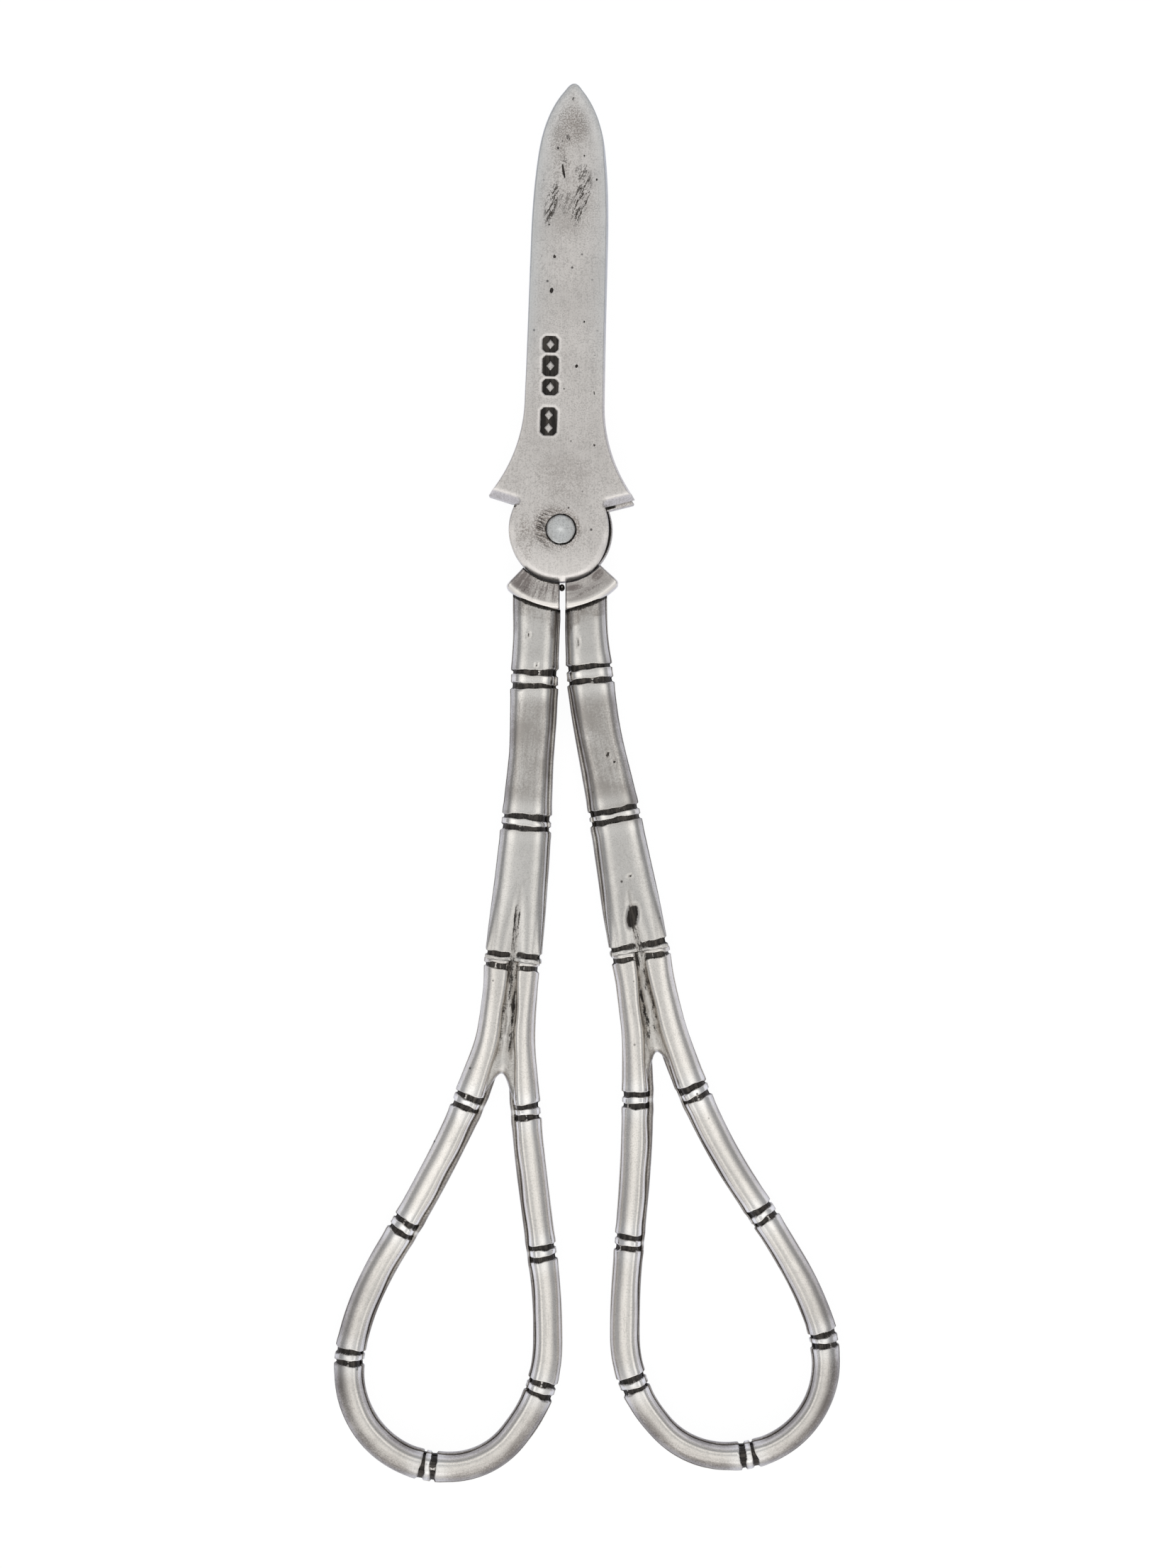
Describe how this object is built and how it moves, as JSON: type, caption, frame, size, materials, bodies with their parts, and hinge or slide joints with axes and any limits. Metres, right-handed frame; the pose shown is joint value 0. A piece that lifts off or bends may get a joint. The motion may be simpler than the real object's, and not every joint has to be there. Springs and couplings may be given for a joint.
{
  "type": "grape shears",
  "caption": "Silver grape shears with two flat blades riveted at a round eye, bamboo-pattern stems and two teardrop finger loops.",
  "frame": {"origin": "on the pivot's axis, at the back face of the rear blade's eye, which the shears lie on", "axes": "+Y towards the blade tips, +X to the right and +Z towards the front face, seen from the front"},
  "size_m": [0.0635, 0.175, 0.0047],
  "materials": {
    "blade_silver": "worn satin silver with fine speckle and scratches",
    "rivet_silver": "hammered silver rivet head, slightly cooler than the blade",
    "collar_silver": "satin silver with dark patina under the eye and on the lower lip",
    "handle_silver": "soft polished silver with black patina in the node grooves and crotches"
  },
  "bodies": {
    "rear_half": {"rear_blade": "blade_silver", "left_collar": "collar_silver", "left_stem": "handle_silver", "left_finger_loop": "handle_silver", "pivot_rivet": "rivet_silver"},
    "front_half": {"front_blade": "blade_silver", "right_collar": "collar_silver", "right_stem": "handle_silver", "right_finger_loop": "handle_silver"}
  },
  "joints": [
    {"name": "blade_pivot", "type": "hinge", "parent": "rear_half", "child": "front_half", "pos_m": [0, 0, 0.0022], "axis": [0, 0, 1], "range_deg": [0, 60]}
  ]
}
